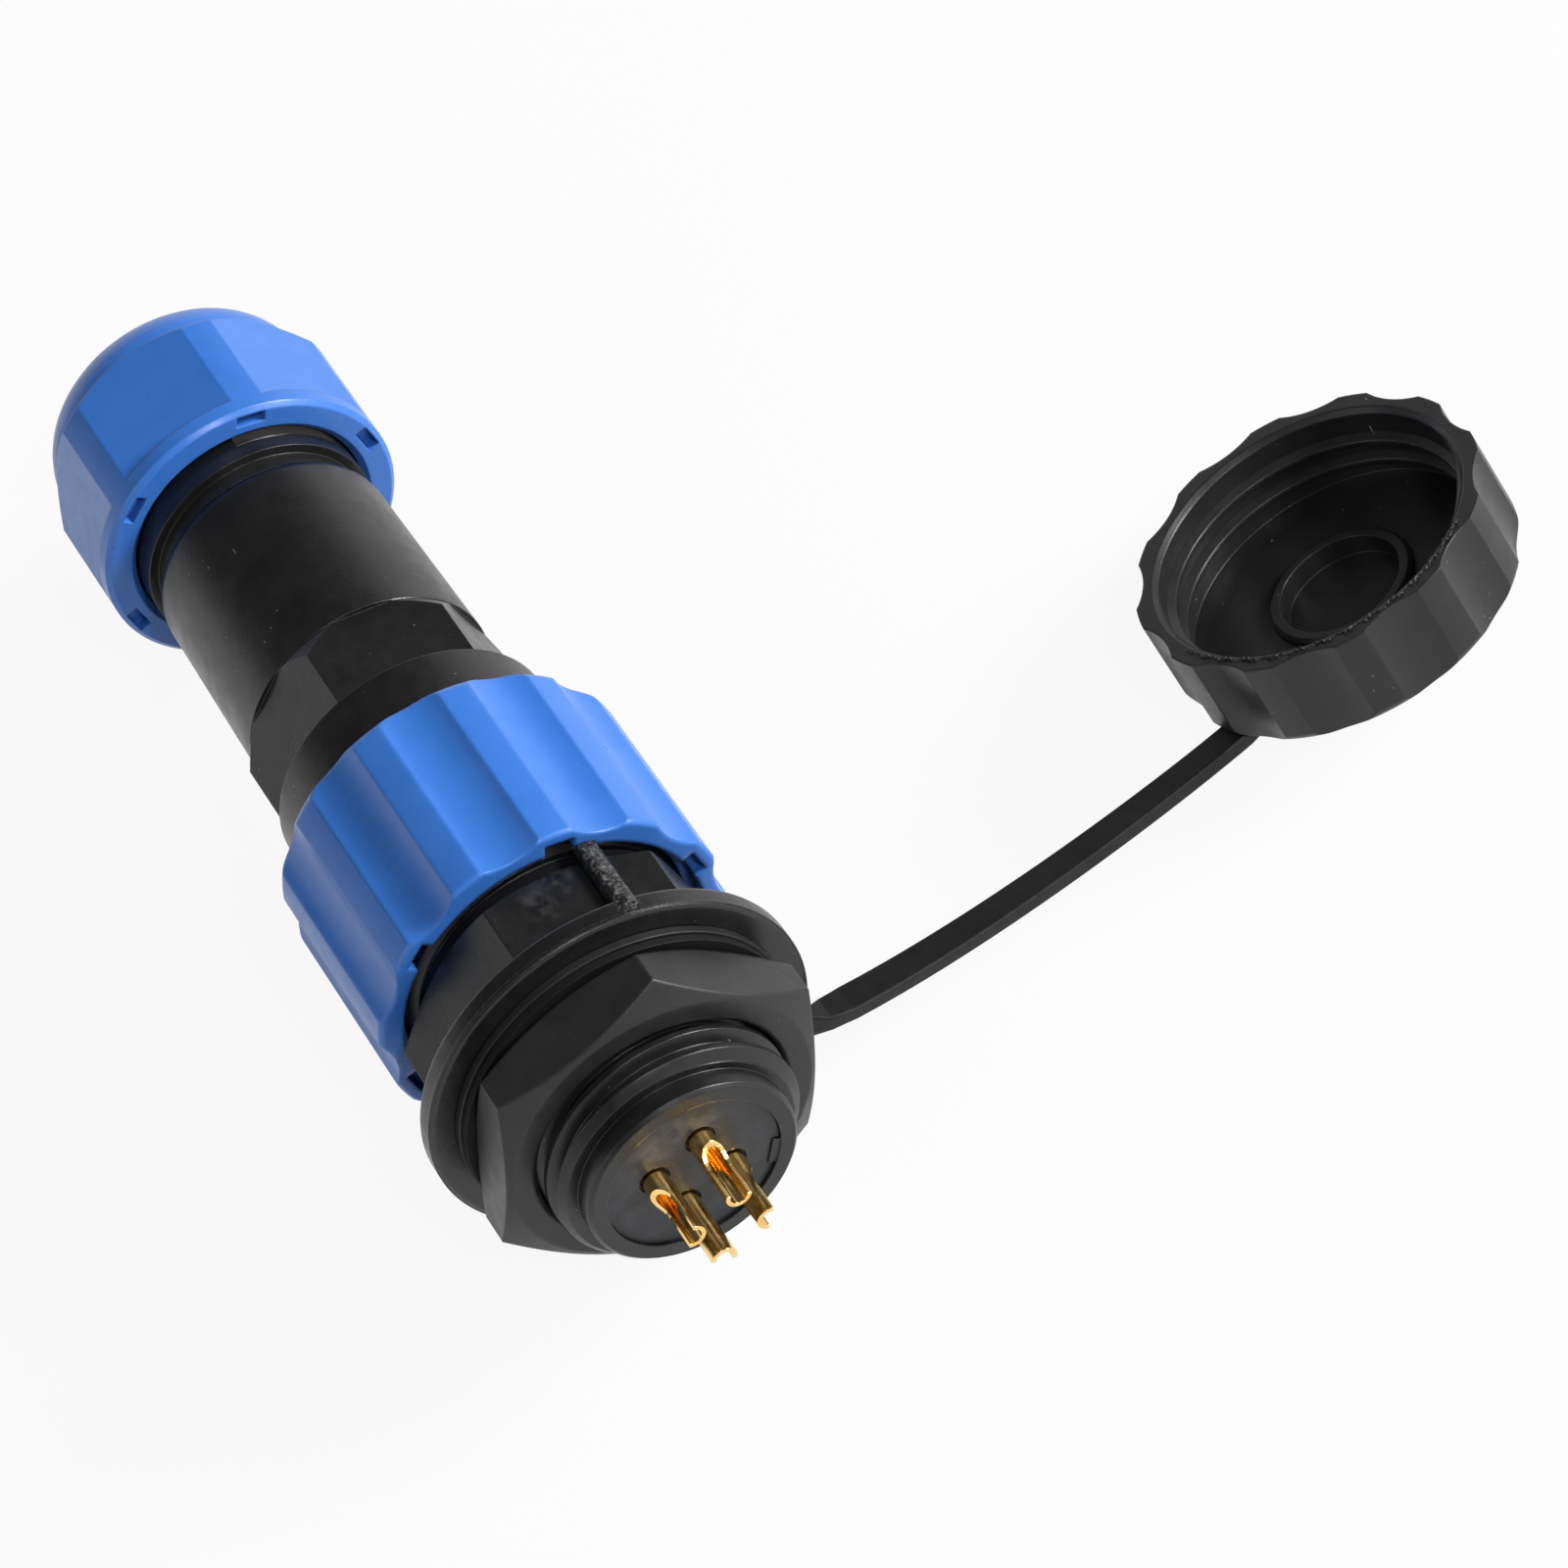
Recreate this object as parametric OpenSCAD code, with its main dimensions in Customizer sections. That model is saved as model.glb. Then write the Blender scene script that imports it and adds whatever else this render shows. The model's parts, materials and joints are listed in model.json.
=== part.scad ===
// Waterproof circular connector: a panel socket, the cable plug screwed to it and a dust cap on a strap.
// The connector lies along X with its solder cups at +X, and the cap lies beside it at +Y.
// The origin is on the connector's axis, at the flange face that seats on the panel.

/* [Panel socket] */
// Diameter of the flange
flange_d = 31; // [29.5:0.1:34]
// Thickness of the flange
flange_t = 2; // [1.5:0.1:3]
// Outside diameter of the panel thread
panel_thread_d = 20; // [19.4:0.1:20.6]
// Length of the panel thread
panel_thread_len = 10; // [9:0.1:13]
// Outside diameter of the plain tail behind the thread
tail_d = 17; // [16.2:0.1:18]
// Length of the plain tail
tail_len = 1.8; // [1:0.1:3]
// Length of the six-sided neck in front of the flange
neck_len = 7.8; // [5:0.1:10]
// Width of the neck across its flats
neck_af = 23.4; // [23.3:0.1:25]
// Diameter of the cavity that receives the plug's nose
cavity_d = 19.2; // [18.6:0.1:19.8]
// Depth of that cavity, down to the insert's seat
cavity_depth = 13.4; // [11:0.1:14.5]
// Wall of the threaded sleeve around the cavity
sleeve_wall = 2; // [1.8:0.1:2.3]
// Length of the threaded sleeve
sleeve_len = 14.1; // [13.5:0.1:18]

/* [Inserts and contacts] */
// Diameter of the socket insert's body
insert_d = 14; // [12.5:0.1:14.4]
// Thickness of the socket insert's front collar
insert_collar_t = 2.4; // [1.5:0.1:3]
// How far the insert lies inside the tail
insert_recess = 0.3; // [0.1:0.1:1]
// Diameter of the circle of contacts
contact_circle_d = 6.3; // [5.6:0.1:8]
// Diameter of the contact pins
pin_d = 1.6; // [1:0.1:1.8]
// Length of the pins in front of the insert
pin_len = 7.6; // [5:0.1:9]
// Outside diameter of the solder cups
cup_d = 2.06; // [1.9:0.02:2.4]
// Diameter of the hole in a solder cup
cup_bore_d = 1.4; // [0.8:0.1:1.5]
// Length of the solder cups behind the insert
cup_len = 6.1; // [5.5:0.1:10]

/* [Panel nut and gasket] */
// Width of the nut across its flats
nut_af = 25.1; // [24:0.1:26]
// Thickness of the nut
nut_t = 5.3; // [4:0.1:6.5]
// Thickness of the flat gasket
gasket_t = 0.65; // [0.5:0.05:1.2]
// Radial width of the gasket
gasket_w = 3.2; // [2:0.1:3.6]

/* [Plug] */
// Wall of the plug's nose
nose_wall = 1; // [0.8:0.1:1.4]
// Thickness of the shoulder that the coupling ring pulls on
shoulder_t = 1.8; // [1.2:0.1:2.5]
// Thickness of the face seal in front of the shoulder
seal_t = 1; // [0.6:0.1:1.5]
// Outside diameter of the sleeve contacts
sleeve_contact_d = 2.5; // [2.3:0.1:2.8]

/* [Coupling ring] */
// Wall of the ring between its thread and its crests
ring_wall = 2.7; // [2.2:0.1:3.5]
// Thickness of the ring's rear wall
ring_rear_wall = 1.9; // [1.4:0.1:2.5]
// Space between the ring's front and the neck
ring_gap = 0.8; // [0.6:0.1:3]
// Number of grip flutes on the ring
ring_flutes = 12; // [8:1:16]
// Depth of the ring's flutes
ring_flute_depth = 0.55; // [0.4:0.05:0.8]

/* [Back shell] */
// Diameter of the collar behind the coupling ring
collar_d = 22.9; // [22.8:0.1:24]
// Length of the collar
collar_len = 5.9; // [5:0.1:10]
// Width across the wrench flats
wrench_af = 19.6; // [19:0.1:19.7]
// Length of the wrench flats
wrench_len = 8; // [5:0.1:10]
// Diameter of the barrel beside the wrench flats
barrel_d = 20.4; // [19.8:0.1:21]
// Diameter of the barrel at its gland end
barrel_end_d = 19.7; // [19.4:0.1:20.2]
// Length of the barrel
barrel_len = 18.7; // [14:0.1:26]
// Wall of the barrel
barrel_wall = 1.9; // [1.5:0.1:2.2]

/* [Cable gland] */
// Outside diameter of the gland thread on the back shell
gland_thread_d = 19.4; // [19:0.1:20]
// Length of the gland thread and its relief groove
gland_thread_len = 12.7; // [11.5:0.1:15]
// Outside diameter of the gland nut
gland_d = 25; // [24.4:0.1:27]
// Width of the gland nut across its flats
gland_af = 22.8; // [22.4:0.1:23.4]
// Length of the gland nut
gland_len = 17.4; // [17:0.1:19]
// Rounding of the gland nut's domed end
dome_r = 4.8; // [3:0.1:6]
// How far the gland nut stands open from the barrel
gland_gap = 3.2; // [3:0.1:4.5]
// Diameter of the cable entry
cable_d = 9; // [6:0.1:9.4]

/* [Dust cap] */
// Wall of the cap at its crests
cap_wall = 1.8; // [1.4:0.05:2.4]
// Height of the cap from its rim to its closed end
cap_h = 8.1; // [7:0.1:12]
// Thickness of the closed end
cap_floor_t = 1.6; // [1.2:0.1:2.2]
// Number of grip flutes on the cap
cap_flutes = 12; // [8:1:16]
// Depth of the cap's flutes
cap_flute_depth = 0.5; // [0.3:0.05:0.7]
// Diameter of the button that holds the strap's loop
button_d = 8.4; // [7:0.1:9]

/* [Strap] */
// Width of the strap
strap_w = 2.8; // [1.6:0.1:3.2]
// Thickness of the strap
strap_t = 1.2; // [0.8:0.1:1.3]
// Thickness of the strap's ring on the panel thread
strap_ring_t = 0.7; // [0.6:0.05:1]
// Radial width of that ring
strap_ring_w = 3.4; // [2.5:0.1:3.8]
// Radial width of the loop round the cap's button
loop_w = 2.3; // [1.5:0.1:2.6]

/* [Lay of the cap] */
// Place of the closed end along the connector
cap_x = -4; // [-12:0.5:6]
// Distance of the cap's centre from the connector's axis
cap_y = 64.2; // [55:0.1:75]
// Angle that the cap leans on its edge
cap_lean = 15.25; // [10:0.25:20]

/* [Hidden] */
$fn = 96;

// Colours of the materials
black_plastic = [0.10, 0.10, 0.11];
insert_plastic = [0.16, 0.16, 0.18];
black_rubber = [0.05, 0.05, 0.05];
blue_plastic = [0.13, 0.38, 0.74];
gilt = [0.86, 0.66, 0.28];
white_plastic = [0.80, 0.80, 0.78];

// Clearances: turning fits, sliding fits, pieces pressed together, and faces that bear on each other
turn_clear = 0.08;
slide_clear = 0.3;
press_clear = 0.02;
face_clear = 0.05;
thread_clear = 0.15;
// Overlap that cutting and joined shapes run past a face
past = 1;

// Edge chamfers
small_chamfer = 0.3;
thread_chamfer = 0.6;

// Radii, worked outwards from the cavity
cavity_r = cavity_d / 2;
mating_r = cavity_r + sleeve_wall;
neck_corner_r = neck_af / 2 / cos(30);
nose_r = cavity_r - slide_clear;
nose_bore_r = nose_r - nose_wall;
throat_step = 1.15;
throat_r = nose_r + throat_step;
ring_bore_r = mating_r + thread_clear;
ring_r = ring_bore_r + ring_wall;
ring_mouth_step = 0.75;
ring_mouth_r = ring_bore_r + ring_mouth_step;
panel_r = panel_thread_d / 2;
insert_bore_r = insert_d / 2 + press_clear;
flange_r = flange_d / 2;
floor_z = -flange_r;

// Stations along X, from the panel face towards the tail
tail_x = panel_thread_len + tail_len;
insert_rear_x = tail_x - insert_recess;
cup_end_x = insert_rear_x + cup_len;
strap_ring_x = face_clear;
gasket_x = strap_ring_x + strap_ring_t + face_clear;
nut_x = gasket_x + gasket_t + face_clear;

// Stations along X, from the panel face towards the cable
neck_x = -flange_t - neck_len;
rim_x = neck_x - sleeve_len;
seat_x = rim_x + cavity_depth;
insert_front_x = seat_x - insert_collar_t;
pin_tip_x = insert_front_x - pin_len;
nose_x = insert_front_x - slide_clear;
shoulder_x = rim_x - face_clear - seal_t;
throat_x = shoulder_x - shoulder_t;
ring_front_x = neck_x - ring_gap;
ring_step_x = throat_x - face_clear;
ring_rear_x = ring_step_x - ring_rear_wall;
ring_float = 0.2;
collar_x = ring_rear_x - ring_float;
throat_len = 3.8;
throat_end_x = throat_x - throat_len;
oring_d = 1.25;
oring_floor_x = throat_end_x - oring_d;
spigot_len = 5.5;
spigot_end_x = throat_end_x - spigot_len;
wrench_x = collar_x - collar_len;
barrel_x = wrench_x - wrench_len;
barrel_end_x = barrel_x - barrel_len;
shell_end_x = barrel_end_x - gland_thread_len;
gland_front_x = barrel_end_x - gland_gap;
gland_end_x = gland_front_x - gland_len;

// Gland: the entry wall, the washer on it, the collet and the seal
entry_wall = 4;
washer_t = 1;
collet_len = 4.3;
seal_gap = 2.7;
seal_stop_t = 2;
gland_floor_x = gland_end_x + entry_wall;
washer_x = gland_floor_x + face_clear;
collet_x = washer_x + washer_t;
collet_front_x = collet_x + collet_len;
seal_rear_x = collet_front_x + seal_gap;
seal_stop_x = barrel_end_x - seal_stop_t / 2;
gland_r = gland_d / 2;
gland_thread_r = gland_thread_d / 2;
gland_bore_r = gland_thread_r + thread_clear;
cable_r = cable_d / 2;
entry_step = 0.3;
seal_wall = 2.8;
seal_bore_r = cable_r + entry_step;
seal_r = seal_bore_r + seal_wall;
shell_bore_r = barrel_d / 2 - barrel_wall - small_chamfer;

// Angles about X, from +Y towards +Z
contact_angle = 55;
neck_angle = 66;
rib_angle = 54.5;
nut_angle = 6;
wrench_angle = 68;
gland_angle = 92;
ring_angle = 50;
ring_pocket_angle = 3.6;
notch_angle = -33;
strap_angle = -38;

// Dust cap, in its own frame with the closed end at zero height
thread_h = 0.7;
cap_bore_r = mating_r + thread_h + press_clear;
cap_r = cap_bore_r + cap_wall;
cap_edge = 0.45;
flute_share = 0.65;
cap_flute_w = 360 / cap_flutes * flute_share;
ring_flute_w = 360 / ring_flutes * flute_share;
cap_flute_angle = 2;
button_r = button_d / 2;
loop_r = button_r + turn_clear;
loop_t = strap_t + face_clear;
head_step = 1;
head_t = 0.7;
cap_sink = (cap_r - cap_edge) * sin(cap_lean) + cap_edge * (1 - cos(cap_lean));
cap_base = [cap_x, cap_y, floor_z + cap_sink];

// Turns local Z to X, local X to Y and local Y to Z, so an angle is read from +Y towards +Z
module along_x() {
    rotate([0, 90, 0]) rotate([0, 0, 90]) children();
}

// Body of revolution about X from its outline in radius and station
module turned(outline) {
    along_x() rotate_extrude() polygon(outline);
}

// Places its children around X with local X pointing outwards
module around_x(angle, radius = 0) {
    along_x() rotate([0, 0, angle]) translate([radius, 0, 0]) children();
}

// Disc or tube between two stations
module tube_x(outer_r, inner_r, from_x, to_x) {
    turned([[inner_r, from_x], [outer_r, from_x], [outer_r, to_x], [inner_r, to_x]]);
}

// Round bar between two stations, for cutting
module bar_x(radius, from_x, to_x) {
    along_x() translate([0, 0, from_x]) cylinder(r = radius, h = to_x - from_x);
}

// Quarter arc of a rounded lower rim in radius and height, from the end face to the outside
function rim_arc(r, h, round_r, steps = 6) = [
    for (i = [0 : steps])
        let (turn = 90 * i / steps)
        [r - round_r + round_r * sin(turn), h + round_r - round_r * cos(turn)]
];

// Quarter arc of a rounded upper rim in radius and height, from the outside to the end face
function top_arc(r, h, round_r, steps = 6) = [
    for (i = [0 : steps])
        let (turn = 90 * i / steps)
        [r - round_r + round_r * cos(turn), h - round_r + round_r * sin(turn)]
];

// Cutter radius of a hollow flute, from the crest radius, its depth and its angular width
function flute_cut_r(r, depth, width) =
    let (half = r * sin(width / 2), drop = r * cos(width / 2) - (r - depth))
    (half * half + drop * drop) / (2 * drop);

// Row of grip flutes about local Z
module flutes(r, depth, width, count, angle, from_z, to_z) {
    cut_r = flute_cut_r(r, depth, width);
    for (i = [0 : count - 1])
        rotate([0, 0, angle + 360 / count * i])
            translate([r - depth + cut_r, 0, from_z])
                cylinder(r = cut_r, h = to_z - from_z);
}

// Small rectangular pockets sunk into a front face about local Z
module face_pockets(inner_r, outer_r, width, depth, face_z, angle) {
    for (i = [0 : 5])
        rotate([0, 0, angle + 60 * i])
            translate([inner_r, -width / 2, face_z - depth])
                cube([outer_r - inner_r, width, depth + past]);
}

// Solder cup hollow and its outward scoop, about local Z with the mouth at end_z
cup_depth = 5.4;
scoop_len = 5.2;
scoop_round = 2.2;
scoop_floor = 0.1;
module solder_cup_cut(end_z, side) {
    translate([0, 0, side > 0 ? end_z - cup_depth : end_z - past])
        cylinder(d = cup_bore_d, h = cup_depth + past, $fn = 32);
    translate([0, 0, end_z]) scale([1, 1, side]) rotate([90, 0, 0])
        linear_extrude(cup_d + past, center = true)
            polygon(concat(
                [[cup_d, -scoop_len], [cup_d, past], [scoop_floor, past]],
                [for (i = [0 : 6])
                    [scoop_floor + scoop_round - scoop_round * cos(15 * i),
                     -scoop_len + scoop_round - scoop_round * sin(15 * i)]]));
}

// Socket body: flange, six-sided neck, threaded sleeve, panel thread and tail
relief_depth = 0.6;
relief_len = 1.5;
rib_w = 1.3;
rib_h = 1.3;
rib_x = ring_front_x + slide_clear;
flange_round = 0.5;
neck_face_step = 0.1;
neck_chamfer_slope = 0.72;
module socket_neck() {
    face_r = neck_af / 2 - neck_face_step;
    turned_r = neck_corner_r + past;
    intersection() {
        around_x(neck_angle + 30) translate([0, 0, neck_x])
            cylinder(r = neck_corner_r, h = neck_len + flange_t / 2, $fn = 6);
        turned([
            [0, neck_x],
            [face_r, neck_x],
            [turned_r, neck_x + (turned_r - face_r) * neck_chamfer_slope],
            [turned_r, 0],
            [0, 0]
        ]);
    }
}

module socket_outside() {
    turned(concat(
        [
            [0, rim_x],
            [mating_r - thread_chamfer, rim_x],
            [mating_r, rim_x + thread_chamfer],
            [mating_r, neck_x - relief_len],
            [mating_r - relief_depth, neck_x - relief_len],
            [mating_r - relief_depth, -flange_t]
        ],
        rim_arc(flange_r, -flange_t, flange_round),
        top_arc(flange_r, 0, flange_round),
        [
            [panel_r, 0],
            [panel_r, panel_thread_len - thread_chamfer],
            [panel_r - thread_chamfer, panel_thread_len],
            [tail_d / 2, panel_thread_len],
            [tail_d / 2, tail_x - small_chamfer],
            [tail_d / 2 - small_chamfer, tail_x],
            [0, tail_x]
        ]));
    socket_neck();
    around_x(rib_angle, mating_r - relief_depth - past) translate([0, -rib_w / 2, rib_x])
        cube([neck_af / 2 + rib_h - mating_r + relief_depth + past, rib_w, -flange_t / 2 - rib_x]);
}

notch_w = 2.4;
notch_depth = 0.7;
notch_len = 3;
module socket_body() {
    key_w = notch_w - 2 * press_clear;
    key_len = notch_len - press_clear + insert_recess / 2;
    color(black_plastic) {
        difference() {
            socket_outside();
            bar_x(cavity_r, rim_x - past, seat_x);
            bar_x(insert_bore_r, seat_x - past, tail_x + past);
        }
        around_x(notch_angle, insert_d / 2 - notch_depth + press_clear)
            translate([0, -key_w / 2, insert_rear_x - notch_len + press_clear])
                cube([notch_depth + small_chamfer, key_w, key_len]);
    }
}

// Socket insert: seated on the cavity floor and keyed to the body, with its face just inside the tail
contact_hole_r = cup_d / 2 + press_clear;
module socket_insert() {
    color(insert_plastic) difference() {
        turned([
            [0, insert_front_x],
            [cavity_r - press_clear, insert_front_x],
            [cavity_r - press_clear, seat_x],
            [insert_d / 2, seat_x],
            [insert_d / 2, insert_rear_x],
            [0, insert_rear_x]
        ]);
        for (i = [1 : 4])
            around_x(contact_angle + 90 * i, contact_circle_d / 2)
                translate([0, 0, insert_front_x - past])
                    cylinder(r = contact_hole_r, h = insert_rear_x - insert_front_x + 2 * past);
        around_x(notch_angle, insert_d / 2 - notch_depth)
            translate([0, -notch_w / 2, insert_rear_x - notch_len])
                cube([notch_depth + past, notch_w, notch_len + past]);
    }
}

// Socket contact: a round-nosed pin in front and a scooped solder cup behind
module socket_contact(i) {
    pin_r = pin_d / 2;
    color(gilt) around_x(contact_angle + 90 * i, contact_circle_d / 2) difference() {
        rotate_extrude($fn = 48) polygon(concat(
            rim_arc(pin_r, pin_tip_x, pin_r),
            [[pin_r, insert_front_x], [cup_d / 2, insert_front_x], [cup_d / 2, cup_end_x], [0, cup_end_x]]));
        solder_cup_cut(cup_end_x, 1);
    }
}

// Panel gasket: flat ring behind the strap's ring
module panel_gasket() {
    color(black_rubber)
        tube_x(panel_r + turn_clear + gasket_w, panel_r + turn_clear, gasket_x, gasket_x + gasket_t);
}

// Panel nut: hexagon with both faces turned off at its corners and a countersunk thread
nut_face_step = 0.4;
nut_chamfer_slope = 0.55;
countersink = 0.35;
module panel_nut() {
    corner_r = nut_af / 2 / cos(30);
    face_r = nut_af / 2 - nut_face_step;
    turned_r = corner_r + past;
    chamfer_h = (turned_r - face_r) * nut_chamfer_slope;
    hole_r = panel_r + turn_clear;
    color(black_plastic) difference() {
        intersection() {
            around_x(nut_angle) translate([0, 0, nut_x]) cylinder(r = corner_r, h = nut_t, $fn = 6);
            turned([
                [0, nut_x],
                [face_r, nut_x],
                [turned_r, nut_x + chamfer_h],
                [turned_r, nut_x + nut_t - chamfer_h],
                [face_r, nut_x + nut_t],
                [0, nut_x + nut_t]
            ]);
        }
        turned([
            [0, nut_x - past],
            [hole_r, nut_x - past],
            [hole_r, nut_x + nut_t - countersink],
            [hole_r + countersink + past, nut_x + nut_t + past],
            [0, nut_x + nut_t + past]
        ]);
    }
}

// Strap: a ring on the panel thread, a flat run that sags towards the cap, and a loop round the button
strap_steps = 24;
strap_pull = 37;
strap_drop = 0.43;
strap_end_pull = 26;
root_w = 2.4;
root_t = strap_ring_t - face_clear;
root_r = panel_r + turn_clear + strap_ring_w / 2;
rim_gap = 0.1;
widen_len = 1.8;
widen_from_r = flange_r + rim_gap;
widen_to_r = widen_from_r + widen_len;
strap_cap_angle = -73;
strap_end_angle = -83;
strap_tuck = 1;

cap_side = [cos(cap_lean), 0, sin(cap_lean)];
cap_up = [-sin(cap_lean), 0, cos(cap_lean)];
cap_out = cap_side * cos(strap_cap_angle) + [0, 1, 0] * sin(strap_cap_angle);
cap_across = [0, 1, 0] * cos(strap_cap_angle) - cap_side * sin(strap_cap_angle);
loop_mid = cap_base - cap_up * (face_clear + loop_t / 2);
strap_start = [strap_ring_x + strap_ring_t / 2, root_r * cos(strap_angle), root_r * sin(strap_angle)];
strap_end = loop_mid + cap_out * (cap_r - strap_tuck);
strap_leave = [0, 1, -strap_drop] * strap_pull;
strap_arrive = -(cap_side * cos(strap_end_angle) + [0, 1, 0] * sin(strap_end_angle)) * strap_end_pull;

function unit(v) = v / norm(v);
function eased(s) = let (t = max(0, min(1, s))) t * t * (3 - 2 * t);
function strap_point(s) =
    strap_start * (2 * pow(s, 3) - 3 * pow(s, 2) + 1)
    + strap_leave * (pow(s, 3) - 2 * pow(s, 2) + s)
    + strap_end * (3 * pow(s, 2) - 2 * pow(s, 3))
    + strap_arrive * (pow(s, 3) - pow(s, 2));
function strap_way(s) = unit(
    strap_start * (6 * pow(s, 2) - 6 * s)
    + strap_leave * (3 * pow(s, 2) - 4 * s + 1)
    + strap_end * (6 * s - 6 * pow(s, 2))
    + strap_arrive * (3 * pow(s, 2) - 2 * s));

// Bevelled rectangle of the strap's section, in halves of its width and thickness
section = [
    [1, 0.7], [0.88, 1], [-0.88, 1], [-1, 0.7], [-1, -0.7], [-0.88, -1], [0.88, -1], [1, -0.7]
];
function strap_section(middle, way, side, half_w, half_t) =
    let (across = unit(side - way * (side * way)), up = cross(way, across))
    [for (p = section) middle + across * (p[0] * half_w) + up * (p[1] * half_t)];
function strap_ring_at(s) =
    let (
        middle = strap_point(s),
        wide = eased((norm([middle[1], middle[2]]) - widen_from_r) / (widen_to_r - widen_from_r)),
        half_w = (root_t + (strap_w - root_t) * wide) / 2,
        half_t = (root_w + (strap_t - root_w) * wide) / 2
    )
    strap_section(middle, strap_way(s), [1, 0, 0] * (1 - eased(s)) + cap_across * eased(s), half_w, half_t);
module strap_run() {
    into_loop = strap_section(
        loop_mid + cap_out * (loop_r + loop_w / 2), -cap_out, cap_across, strap_w / 2, strap_t / 2);
    rings = concat([for (i = [0 : strap_steps]) strap_ring_at(i / strap_steps)], [into_loop]);
    sides = len(section);
    last = len(rings) - 1;
    faces = concat(
        [[for (j = [0 : sides - 1]) j]],
        [for (i = [0 : last - 1]) for (j = [0 : sides - 1])
            let (a = i * sides + j, b = i * sides + (j + 1) % sides)
            each [[a, b + sides, b], [a, a + sides, b + sides]]],
        [[for (j = [0 : sides - 1]) last * sides + sides - 1 - j]]);
    polyhedron([for (ring = rings) each ring], faces, convexity = 4);
}

module on_cap() {
    translate(cap_base) rotate([0, -cap_lean, 0]) children();
}

module cap_tether() {
    color(black_rubber) {
        tube_x(panel_r + turn_clear + strap_ring_w, panel_r + turn_clear,
            strap_ring_x, strap_ring_x + strap_ring_t);
        strap_run();
        on_cap() translate([0, 0, -face_clear - loop_t]) difference() {
            cylinder(r = loop_r + loop_w, h = loop_t);
            translate([0, 0, -past]) cylinder(r = loop_r, h = loop_t + 2 * past);
        }
    }
}

// Dust cap: fluted cup with a low hollow boss on its floor and a button under its closed end
cap_lead = 0.4;
boss_r = 5.9;
boss_h = 0.65;
core_r = 4.9;
core_wall = 0.5;
module dust_cap() {
    neck_h = loop_t + 2 * face_clear;
    head_r = button_r + head_step;
    boss_top = cap_floor_t + boss_h;
    color(black_plastic) on_cap() difference() {
        union() {
            difference() {
                rotate_extrude() polygon(concat(
                    [[0, 0]],
                    rim_arc(cap_r, 0, cap_edge),
                    [[cap_r, cap_h], [0, cap_h]]));
                translate([0, 0, cap_floor_t]) cylinder(r = cap_bore_r, h = cap_h);
                translate([0, 0, cap_h - cap_lead])
                    cylinder(r1 = cap_bore_r, r2 = cap_bore_r + cap_lead + past, h = cap_lead + past);
                flutes(cap_r, cap_flute_depth, cap_flute_w, cap_flutes, cap_flute_angle, -past, cap_h + past);
            }
            rotate_extrude() polygon([
                [0, cap_floor_t - small_chamfer],
                [boss_r, cap_floor_t - small_chamfer],
                [boss_r, boss_top - small_chamfer],
                [boss_r - small_chamfer, boss_top],
                [0, boss_top]
            ]);
            rotate_extrude() polygon([
                [0, small_chamfer],
                [button_r, small_chamfer],
                [button_r, -neck_h],
                [head_r, -neck_h],
                [head_r, -neck_h - head_t + small_chamfer],
                [head_r - small_chamfer, -neck_h - head_t],
                [0, -neck_h - head_t]
            ]);
        }
        translate([0, 0, core_wall]) cylinder(r = core_r, h = cap_h);
    }
}

// Plug shell: nose in the socket's cavity, shoulder in the coupling ring and spigot in the back shell
spigot_r = nose_r - small_chamfer;
plug_stop_w = 0.8;
plug_stop_r = nose_bore_r - plug_stop_w;
module plug_shell() {
    color(black_plastic) difference() {
        turned([
            [0, nose_x],
            [nose_r - small_chamfer, nose_x],
            [nose_r, nose_x - small_chamfer],
            [nose_r, shoulder_x],
            [mating_r, shoulder_x],
            [mating_r, throat_x],
            [throat_r, throat_x],
            [throat_r, throat_end_x],
            [spigot_r, throat_end_x],
            [spigot_r, spigot_end_x],
            [0, spigot_end_x]
        ]);
        bar_x(nose_bore_r, throat_x, nose_x + past);
        bar_x(plug_stop_r, spigot_end_x - past, nose_x + past);
    }
}

// Plug insert: seated in the nose against the stop, with four stepped contact holes
plug_insert_recess = 1;
plug_insert_x = nose_x - plug_insert_recess;
module plug_insert() {
    color(insert_plastic) difference() {
        bar_x(nose_bore_r - press_clear, throat_x, plug_insert_x);
        for (i = [1 : 4])
            around_x(contact_angle + 90 * i, contact_circle_d / 2)
                translate([0, 0, throat_x - past])
                    cylinder(d = sleeve_contact_d + 2 * press_clear, h = plug_insert_x - throat_x + 2 * past);
    }
}

// Plug contact: a sleeve that takes the pin, with a scooped solder cup behind the insert
plug_cup_len = 6.5;
sleeve_depth_room = 1.5;
module plug_contact(i) {
    cup_x = throat_x - plug_cup_len;
    color(gilt) around_x(contact_angle + 90 * i, contact_circle_d / 2) difference() {
        rotate_extrude($fn = 48) polygon([
            [0, cup_x],
            [cup_d / 2, cup_x],
            [cup_d / 2, throat_x],
            [sleeve_contact_d / 2, throat_x],
            [sleeve_contact_d / 2, plug_insert_x],
            [0, plug_insert_x]
        ]);
        translate([0, 0, pin_tip_x - sleeve_depth_room])
            cylinder(d = pin_d + 2 * turn_clear, h = plug_insert_x - pin_tip_x + sleeve_depth_room + past);
        solder_cup_cut(cup_x, -1);
    }
}

// Coupling seal: flat rubber ring between the plug's shoulder and the socket's rim
module coupling_seal() {
    color(black_rubber)
        tube_x(mating_r - thread_chamfer, nose_r + press_clear, shoulder_x, shoulder_x + seal_t);
}

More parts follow.
